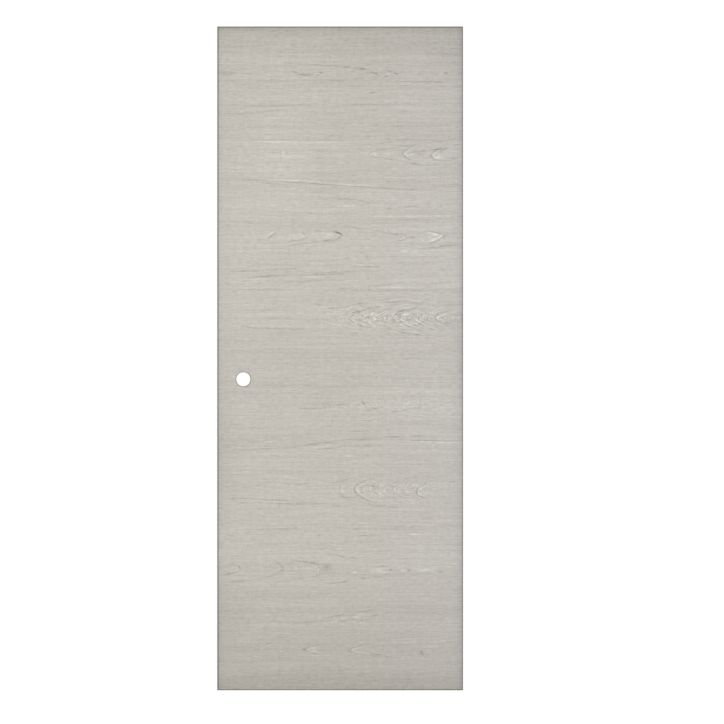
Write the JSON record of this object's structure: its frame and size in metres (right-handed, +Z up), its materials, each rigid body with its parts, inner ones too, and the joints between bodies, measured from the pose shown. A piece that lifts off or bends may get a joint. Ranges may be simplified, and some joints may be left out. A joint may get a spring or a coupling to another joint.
{
  "type": "sliding door leaf",
  "caption": "Flush sliding door leaf in pale greige wood decor: framed tubular core, through bore for a round recessed pull, open floor-guide groove along the foot.",
  "frame": {"origin": "middle of the top edge, on the face that the hangers are screwed to", "axes": "+X to the right across the leaf as seen from its front, +Y through it from front to back, +Z up"},
  "size_m": [0.735, 0.04, 1.985],
  "materials": {
    "decor_skin": "satin",
    "decor_band": "matte",
    "softwood": "matte",
    "chipboard": "matte"
  },
  "bodies": {
    "root": {"front_skin": "decor_skin", "back_skin": "decor_skin", "left_edge_band": "decor_band", "right_edge_band": "decor_band", "left_stile": "softwood", "right_stile": "softwood", "top_rail": "softwood", "hanger_rail": "softwood", "bottom_rail": "softwood", "pull_block": "softwood", "core_board": "chipboard", "core_strip_above_block": "chipboard", "core_strip_below_block": "chipboard"}
  },
  "joints": []
}
